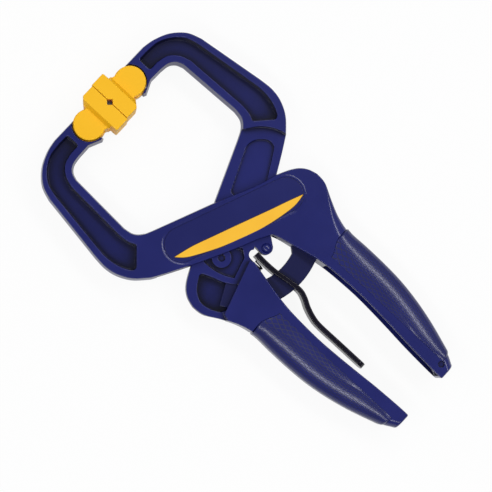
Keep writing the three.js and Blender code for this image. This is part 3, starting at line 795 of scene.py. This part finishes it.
# The bar turns round the pivot. `tail`, `root` and the pegs are in degrees from +X.
bar = {
    "inner": 37, "outer": 53, "half": 2.5, "tail": 117, "root": 226, "pegs": (208, 219), "pegRadius": 2,
    "wideFrom": (196, 202.5), "wider": 2.5, "edge": 0.6,
}
label = {"half": 11.3, "ends": ((-6.6, -35), (20.8, 35)), "rim": 13.3, "bed": 0.9}
spring = {"wire": 1.4, "radius": 9.2, "pitch": 1.95, "boss": (-4, -23.5), "turns": 2, "steps": 32}
rivet = {"shank": 4, "head": 7, "headThick": 2, "end": 1.2}
dimple = {"centre": (-155.2, -22.8), "radius": 2.2, "floor": 10.5, "face": 11.8}


# Where the leg to the boss leaves the coil.
def springTangent():
    x, y = spring["boss"][0], -spring["boss"][1]
    turn = math.atan2(y, x) - math.acos(spring["radius"] / math.hypot(x, y))
    return polar(spring["radius"], math.degrees(turn))


def barRoom(start, stop):
    room = ringPart(bar["inner"] - 2 * gap, bar["outer"] + 2 * gap, start, stop)
    return slab(room, -bar["half"] - gap, bar["half"] + gap)


def makeFrontArm():
    radius = crossing["frontRadius"]
    slot = crossingZone(radius, [crossing["top"], crossing["foot"], polar(radius, 242)])
    rootRoom = ringPart(bar["inner"] - 2.8, bar["outer"] + gap, 199, bar["root"] + 0.6)
    middle = (bar["inner"] + bar["outer"]) / 2
    labelBed = layered(stadium(*label["ends"], label["rim"]),
                       [(jawHalf - 0.6, 1.6), (jawHalf - 0.15, 0.25), (jawHalf, 0), (jawHalf + past, 0)])
    made = worked(
        "frontArmBody", mouldedSlab(plateOutline(), jawHalf), *armSteps(False),
        ("-", slab(slot, -tongueHalf - gap, tongueHalf + gap)),
        ("-", slab(rootRoom, -bar["half"] - gap, bar["half"] + gap)),
        ("-", barRoom(185, 200)),
        ("-", labelBed),
        ("-", slab(stadium(*label["ends"], label["half"] + gap), jawHalf - label["bed"], jawHalf + past)),
        ("-", slab(disc((0, 0), rivet["shank"] + gap), -jawHalf - past, jawHalf + past)),
        ("-", flipped(pocketCutter(disc((0, 0), rivet["head"] + gap), jawHalf - rivet["headThick"] - gap,
                                   jawHalf, 0, 0.35, 0.2))),
        ("-", slab(disc(springTangent(), 1), -jawHalf - past, -tongueHalf)),
        ("-", pocketCutter(disc(dimple["centre"], dimple["radius"], 32), dimple["floor"], dimple["face"],
                           0.1, 0.15, 0.15)),
        *[("+", slab(disc(polar(middle, turn), bar["pegRadius"], 24), -3.5, 3.5)) for turn in bar["pegs"]],
    )
    return fit(placed(made), "front_half", "front_arm", armResin)


frontArmBody = makeFrontArm()
print("front arm:", len(frontArmBody.data.polygons), "faces")


# A round bar along Y.
def aroundY(x, z, radius, low, high, count=40):
    turns = 2 * math.pi * np.arange(count) / count
    return lofted([[(x + radius * math.cos(a), y, z + radius * math.sin(a)) for a in turns]
                   for y in (low, high)])


def lobeTailPocket():
    pen = Outline(-31, -44).line((-27.6, -49.6))
    pen.smooth([(-22, -52.6), (-14, -53.9), (-6.6, -50), (-1.4, -42.4)])
    pen.bend((-0.4, -40.2), (-2.6, -39.2), 4)
    return pen.arc((0, 0), 37.6, math.radians(256), math.radians(230)).done()


def lobeInnerPocket():
    pen = Outline(-14.8, -13.4).line((-18.9, -27.4))
    pen.arc((0, 0), 33.2, math.radians(235.6), math.radians(276))
    return pen.arc((0, 0), 13.6, math.radians(285), math.radians(225)).done()


nose = {"centre": (-20.2, 1.1), "radius": 4.9, "dome": 3.9, "domeHalf": 5.6}


# The same arm turned over, with a tongue, a lobe and a notch for the lever.
def makeBackArm():
    brow = [(22.2, 63.8), (30.3, 60.4), (36.8, 55.3), (42.1, 48)]
    shoulder = [crossing["top"], crossing["foot"], (-33.5, -50.7), (-38, -64)]
    zone = crossingZone(crossing["backRadius"], shoulder, brow)
    clearing = layered(zone, [(tongueHalf, 0.5), (tongueHalf + 0.15, 0.15), (tongueHalf + 0.5, 0), (8.1, 0),
                              (8.3, -0.06), (8.45, -0.2), (8.5, -0.4), (15, -0.4)])
    x, y = nose["centre"]
    neck = polygon((x - 3.2, y + 3.7), (x + 1.5, y + 7.2), (-8, 13), (-8, -3), (-15.6, -3.4),
                   (x + 0.3, y - 4.8))
    lastTurn = -tongueHalf + spring["wire"] / 2 + spring["turns"] * spring["pitch"]
    roomTop = lastTurn + spring["wire"] / 2 + gap
    tangent = springTangent()
    boss = spring["boss"]
    reach = spring["wire"] / 2 + 2 * gap
    made = worked(
        "backArmBody", mouldedSlab(plateOutline(), jawHalf), *armSteps(True),
        *bothFaces(clearing),
        ("+", rounded(neck, -tongueHalf, tongueHalf, 0.4, 2)),
        ("+", rounded(disc((x, y), nose["radius"]), -tongueHalf, tongueHalf, 0.5)),
        ("+", rounded(disc((x - 0.7, y), nose["dome"]), -nose["domeHalf"], nose["domeHalf"], 3.6, 10)),
        ("-", pocketCutter(lobeTailPocket(), -bar["half"] - gap, tongueHalf, 0.2, 0.5, 0.3)),
        ("-", barRoom(182, 246.5)),
        ("-", pocketCutter(lobeInnerPocket(), 0.8, tongueHalf, 0.4, 0.5, 0.5)),
        *bothFaces(pocketCutter(tonguePocket(), arm["webHalf"], tongueHalf, 0.2, 0.4, 0.4)),
        ("-", slab(stadium((-18.2, -7.4), (-30, -8.2), 3.6), -15, 15)),
        ("-", aroundY(-25, 0, 4.2, -17.3, -9.3)),
        ("-", slab(disc((0, 0), spring["radius"] + reach), -tongueHalf - past, roomTop)),
        ("+", slab(disc((0, 0), spring["radius"] - reach), -tongueHalf, roomTop)),
        ("+", rounded(disc(boss, 6.5), 0.5, tongueHalf, 0.5)),
        ("-", pocketCutter(disc(boss, 2.3, 32), tongueHalf - 1.6, tongueHalf, 0, 0.4, 0.3)),
        ("-", slab(disc(boss, 1, 24), -tongueHalf, lastTurn + 1.5)),
        ("-", slab(stadium((tangent[0], -tangent[1]), boss, reach), -tongueHalf - past, roomTop)),
        ("-", slab(disc((0, 0), 5.7), -tongueHalf - past, tongueHalf + past)),  # the bush's hole
    )
    return fit(placed(made, turnedOver=True), "back_half", "back_arm", armResin)


backArmBody = makeBackArm()
print("back arm:", len(backArmBody.data.polygons), "faces")


# The sleeve's map: u in millimetres along it, v in millimetres round it.
def mapSleeve(made, outer):
    across = [0.0]
    for a, b in zip(outer[len(outer) // 2], outer[len(outer) // 2][1:]):
        across.append(across[-1] + float(np.linalg.norm(b - a)))
    rows, columns = len(outer), len(outer[0])
    sheet = made.data.uv_layers.new(name="sleeveMap")
    for loop in made.data.loops:
        place = loop.vertex_index % (rows * columns)
        r, c = divmod(place, columns)
        sheet.data[loop.index].uv = (-float(outer[r][c][0]), across[c])


def makeGrip(name, body, node, turnedOver):
    made, outer = gripSleeve(name)
    mapSleeve(made, outer)
    return fit(placed(made, turnedOver, 50), body, node, gripRubber)


frontGripSleeve = makeGrip("frontGripSleeve", "front_half", "front_grip", False)
backGripSleeve = makeGrip("backGripSleeve", "back_half", "back_grip", True)
print("grips:", len(frontGripSleeve.data.polygons), "faces each")


def makeArcBar():
    inner, outer, half = bar["inner"], bar["outer"], bar["half"]
    turns = (bar["tail"], bar["root"], *bar["wideFrom"])
    tail, root, narrow, wide = (math.radians(turn) for turn in turns)
    pen = Outline(*polar(outer, bar["tail"])).arc((0, 0), outer, tail, root)
    pen.arc((0, 0), inner - bar["wider"], root, wide).line(polar(inner, bar["wideFrom"][0]))
    pen.arc((0, 0), inner, narrow, tail)
    holes = [("-", slab(disc(polar((inner + outer) / 2, place), bar["pegRadius"] + gap, 24), -4, 4))
             for place in bar["pegs"]]
    made = worked("arcBarBody", rounded(pen.done(), -half, half, bar["edge"]), *holes)
    return fit(placed(made), "front_half", "arc_bar", barShadedResin)


arcBarBody = makeArcBar()


# The label is a film in its bed, with a plain lens-shaped stripe on a darker line.
stripe = {
    "tips": ((18.7, 44.2), (-14.6, -42.6)),
    "left": [(13.1, 39), (6.7, 28.8), (0.9, 18), (-4.2, 6.3), (-9, -5.7), (-12.8, -18.9),
             (-15.4, -33.2)],
    "right": [(-10.6, -33), (-5.8, -20.6), (2.3, -0.7), (10.3, 19.3), (15.1, 31.5)],
    "line": 0.5,
}


def makeLabel():
    plate = stadium(*label["ends"], label["half"])
    film = worked("labelFilmPlate", rounded(plate, jawHalf - 0.6, jawHalf - 0.25, 0.12, 2))
    fit(placed(film), "front_half", "label_plate", labelFilm)
    lens = Outline(*stripe["tips"][0]).smooth([*stripe["left"], stripe["tips"][1]], 4)
    lens = lens.smooth([*stripe["right"], stripe["tips"][0]], 4).done()
    under = rawObject("stripeOutline", slab(inset(lens, -stripe["line"]), jawHalf - 0.26, jawHalf - 0.22))
    over = rawObject("stripeLens", slab(lens, jawHalf - 0.23, jawHalf - 0.19))
    fit(placed(under, weighted=False), "front_half", None, outlineInk)
    fit(placed(over, weighted=False), "front_half", None, stripeFilm)


makeLabel()


# A flat head below, sunk in the rear plate, and a plain end under the label.
def makeRivet():
    low, seat, end = -jawHalf, -jawHalf + rivet["headThick"], jawHalf - rivet["end"]
    head, shank = rivet["head"], rivet["shank"]
    profile = [(0.01, low + 0.35), (2.2, low + 0.3), (3.2, low), (head - 0.9, low),
               (head - 0.25, low + 0.3), (head, low + 0.9), (head, seat), (shank, seat),
               (shank, end - 0.6), (shank - 0.6, end), (0.01, end)]
    made = worked("pivotRivetBody", spun(profile))
    return fit(placed(made, creases=50), "front_half", "pivot_rivet", rivetSteel)


makeRivet()
frame["nodes"]["pivot_bush"].data.materials[0] = rivetSteel


def makeSpring(name, run, diameter, sides, node):
    made = placed(worked(name, wire(run, diameter / 2, sides)), creases=60, weighted=False)
    return fit(made, "back_half", node, springSteel)


# One leg stands in the fork's rear plate, and the other runs to the ring boss.
def makeOpeningSpring():
    x, y = springTangent()
    start = math.atan2(y, x)
    low = -tongueHalf + spring["wire"] / 2
    steps, radius = spring["steps"], spring["radius"]
    turns = []
    for i in range(spring["turns"] * steps + 1):
        turn = start + 2 * math.pi * i / steps
        turns.append((radius * math.cos(turn), radius * math.sin(turn), low + i / steps * spring["pitch"]))
    boss = np.array([spring["boss"][0], -spring["boss"][1], low + spring["turns"] * spring["pitch"]])
    leg = [boss + (np.array(turns[-1]) - boss) * w for w in (0.8, 0.6, 0.4, 0.2, 0.08)]
    foot = [(x, y, z) for z in (-jawHalf + 1, -jawHalf + 2, -jawHalf + 3, low - 0.6)]
    run = [*foot, *turns, *leg, boss + (0, 0, 0.25), boss + (0, 0, 0.8), boss + (0, 0, 1.2)]
    return makeSpring("openingSpringWire", run, spring["wire"], 14, "opening_spring")


makeOpeningSpring()

leverSpring = {"x": -25, "foot": 8.7, "top": 17, "wire": 1.0, "radius": 3.1, "pitch": 1.55}


def makeLeverSpring():
    low, high = leverSpring["foot"] + leverSpring["wire"], leverSpring["top"] - leverSpring["wire"]
    turns = math.floor((high - low) / leverSpring["pitch"] * 8) / 8
    count = round(turns * 28)
    run = []
    for i in range(count + 1):
        turn = 2 * math.pi * turns * i / count
        run.append((leverSpring["x"] + leverSpring["radius"] * math.cos(turn),
                    low + turn / (2 * math.pi) * leverSpring["pitch"], leverSpring["radius"] * math.sin(turn)))
    ends = [(run[0][0], leverSpring["foot"] + 0.1 + 0.3 * k, run[0][2]) for k in range(3)]
    tail = [(run[-1][0], run[-1][1] + 0.3 * k, run[-1][2]) for k in range(1, 4)]
    return makeSpring("leverSpringCoil", [*ends, *run, *tail], leverSpring["wire"], 12, "lever_spring")


makeLeverSpring()


# The strip seen edge-on, from its free end to its root, with a window for the bar.
lever = {
    "line": [(-119.5, 12.4), (-98, 12.5), (-81, 12.6), (-74, 11.6), (-67, 9.1), (-61, 5.9),
             (-55, 4.3), (-45, 5.1), (-36, 6.5), (-27, 6.8), (-18.7, 6.4)],
    "thick": 3.5, "half": 7.5, "window": 3.3, "windowEnd": 1.9, "corner": 0.75, "endRadius": 5,
}


def ribbon(line, half):
    run = np.array(splineRun(line, 6))
    ahead = np.gradient(run, axis=0)
    ahead /= np.linalg.norm(ahead, axis=1)[:, None]
    side = np.stack([-ahead[:, 1], ahead[:, 0]], 1)
    return polygon(*[tuple(p) for p in run - side * half], *[tuple(p) for p in (run + side * half)[::-1]])


# The outline drawn in x and z, standing along Y.
def alongY(outline, low, high):
    return lofted([[(x, y, z) for x, z in outline] for y in (low, high)])


def makeLever():
    end, root, half = lever["line"][0][0], lever["line"][-1][0], lever["half"]
    radius, inward = lever["endRadius"], lever["windowEnd"]
    pen = Outline(root + 2, -half).line((root + 2, half))
    pen.arc((end + radius, half - radius), radius, math.pi / 2, math.pi, 0.6)
    pen.arc((end + radius, radius - half), radius, math.pi, 1.5 * math.pi, 0.6)
    window = stadium((-bar["outer"] + inward, 0), (-bar["inner"] - inward, 0), lever["window"])
    strip = rounded(ribbon(lever["line"], lever["thick"] / 2), -half, half, lever["corner"])
    made = worked("releaseLeverStrip", strip, ("&", alongY(pen.done(), -20, 40)),
                  ("-", alongY(window, -20, 40)))
    return fit(placed(made), "lever", "release_lever", blackSteel)


makeLever()


# The head is thicker than its cheeks, and slopes down to them behind.
pad = {
    "reach": 15.2, "longReach": 15.9, "headHalf": 15, "cheekHalf": 10.6, "slope": (10.3, 12.6), "groove": 2.3,
    "edge": 0.5, "slot": 6.2, "collar": 10.8,
}


def makePad(name, body, node, turned):
    x, y = arm["padAxis"]
    face, short, long, groove = gap / 2, pad["reach"], pad["longReach"], pad["groove"]
    trunnion, reach = arm["trunnion"]
    head = polygon((x - long, face), (x - groove - 0.2, face), (x, face + groove),
                   (x + groove + 0.2, face), (x + short, face), (x + short, 9), (x + 11, 12.8),
                   (x - 10.9, 12.8), (x - 11, 10.6), (x - long + 0.6, 10.4), (x - long, 9.8))
    cheeks = Outline(x + 9.4, 6).arc((x, y), arm["barrel"], -0.52, math.pi + 0.4)
    cheeks = cheeks.line((x - 10.4, 12.8), (x - 10.4, 6)).done()
    deep = arm["ridge"] - gap
    collar = slab(disc((x, y), pad["collar"], 96), -deep, deep)
    headHalf, cheekHalf, (near, far) = pad["headHalf"], pad["cheekHalf"], pad["slope"]
    cut = ((near, headHalf + 0.1), (far, cheekHalf), (30, cheekHalf), (30, 20), (near, 20))
    wedge = lofted([[(x + end, a, b) for a, b in cut] for end in (-30, 30)])
    slot = Outline(x - pad["slot"], y).arc((x, y), pad["slot"], math.pi, 2 * math.pi)
    slot = slot.line((x + 12, y + 4), (x + 12, y + 14), (x - 12, y + 14), (x - 12, y + 4)).done()
    made = worked(
        name, rounded(head, -headHalf, headHalf, pad["edge"], 3), *bothFaces(wedge),
        ("+", rounded(cheeks, -cheekHalf, cheekHalf, pad["edge"] + 0.2, 3)), ("+", collar),
        ("-", slab(slot, -tongueHalf - gap, tongueHalf + gap)),
        ("-", slab(disc((x, y), trunnion + gap, 32), -reach - gap, reach + gap)),
    )
    if turned:
        made.data.transform(Matrix.Translation((2 * x, 0, 0)) @ Matrix.Rotation(math.pi, 4, "Z"))
    return fit(placed(made), body, node, padResin)


makePad("frontPadBody", "front_jaw_pad", "front_pad", False)
makePad("backPadBody", "back_jaw_pad", "back_pad", True)
print("pieces made")


# Metres and watts. The glow shows the floor white to the camera, and its shadow stays.
studio = {
    "floor": 6.0, "floorDrop": 0.0003, "floorColour": (0.88, 0.88, 0.89), "glow": 0.92, "mirroredGlow": 0.4,
    "sky": 0.26,
    "lamps": [
        # place, size across and along X, watts
        ((-0.1, 0.67, 1.4), (0.27, 1.9), 10.5),
        ((-0.1, -0.73, 1.37), (0.27, 1.9), 10.5),
        ((-0.2, -1.45, 1.2), (1.9, 3.0), 3.5),
        ((1.6, 0.6, 1.2), (0.8, 1.2), 3.0),
    ],
}


def makeFloor():
    half = studio["floor"] / 2
    corners = [(-half, -half, 0), (half, -half, 0), (half, half, 0), (-half, half, 0)]
    plane = rawObject("studioFloor", (corners, [(0, 1, 2, 3)]))
    plane.location.z = -studio["floorDrop"]
    finish = Finish("floorPaper", {"Base Color": studio["floorColour"], "Roughness": 0.9,
                                   "Specular IOR Level": 0.2})
    seen = finish.node("ShaderNodeLightPath")
    mirrored = finish.node("ShaderNodeLightPath", output="Is Glossy Ray")
    glow = finish.node("ShaderNodeEmission", {}, {"Color": (1, 1, 1), "Strength": 1.0})
    shown = (seen * studio["glow"]).higher(mirrored * studio["mirroredGlow"])
    paper = Flow(finish, finish.shader.outputs[0])
    mixed = finish.node("ShaderNodeMixShader", {}, {0: shown, 1: paper, 2: glow})
    finish.set(finish.tree.nodes["Material Output"].inputs["Surface"], mixed)
    plane.data.materials.append(finish.material)


def makeLight():
    world = bpy.data.worlds.new("studioLight")
    bpy.context.scene.world = world
    world.use_nodes = True
    tree = world.node_tree
    background = tree.nodes["Background"]
    path = tree.nodes.new("ShaderNodeLightPath")
    level = tree.nodes.new("ShaderNodeMapRange")
    level.inputs["To Min"].default_value = studio["sky"]
    level.inputs["To Max"].default_value = 1.0
    tree.links.new(path.outputs["Is Camera Ray"], level.inputs["Value"])
    tree.links.new(level.outputs["Result"], background.inputs["Strength"])
    background.inputs["Color"].default_value = (1, 1, 1, 1)
    for i, (place, size, watts) in enumerate(studio["lamps"]):
        lamp = bpy.data.lights.new(f"lamp{i}", "AREA")
        lamp.shape = "RECTANGLE"
        lamp.size, lamp.size_y = size
        lamp.energy = watts
        made = bpy.data.objects.new(f"lamp{i}", lamp)
        ahead = -Vector(place).normalized()
        along = (Vector((1, 0, 0)) - ahead * ahead.x).normalized()
        turn = Matrix((along.cross(-ahead), along, -ahead)).transposed()
        made.matrix_world = Matrix.Translation(place) @ turn.to_4x4()
        made.visible_camera = False
        bpy.context.scene.collection.objects.link(made)


makeFloor()
makeLight()

# Millimetres from the pivot's middle. The right-hand side of the picture points along `right`.
view = {
    "place": (17.81, 135.07, 1303.4), "target": (-10.353, 6.615, 0), "right": (-0.7305, -0.6832, 0),
    "lens": 147.13,
}


def makeCamera():
    lens = bpy.data.cameras.new("photoView")
    lens.sensor_width = 36
    lens.lens = view["lens"]
    lens.clip_end = 20
    made = bpy.data.objects.new("photoView", lens)
    place = Vector(view["place"])
    ahead = (Vector(view["target"]) - place).normalized()
    right = Vector(view["right"])
    right = (right - ahead * right.dot(ahead)).normalized()
    turn = Matrix((right, right.cross(ahead), -ahead)).transposed()
    made.matrix_world = Matrix.Translation((place + Vector(pivot)) / 1000) @ turn.to_4x4()
    bpy.context.scene.collection.objects.link(made)
    bpy.context.scene.camera = made


makeCamera()
bpy.context.scene.view_settings.view_transform = "Standard"

bpy.context.view_layer.update()
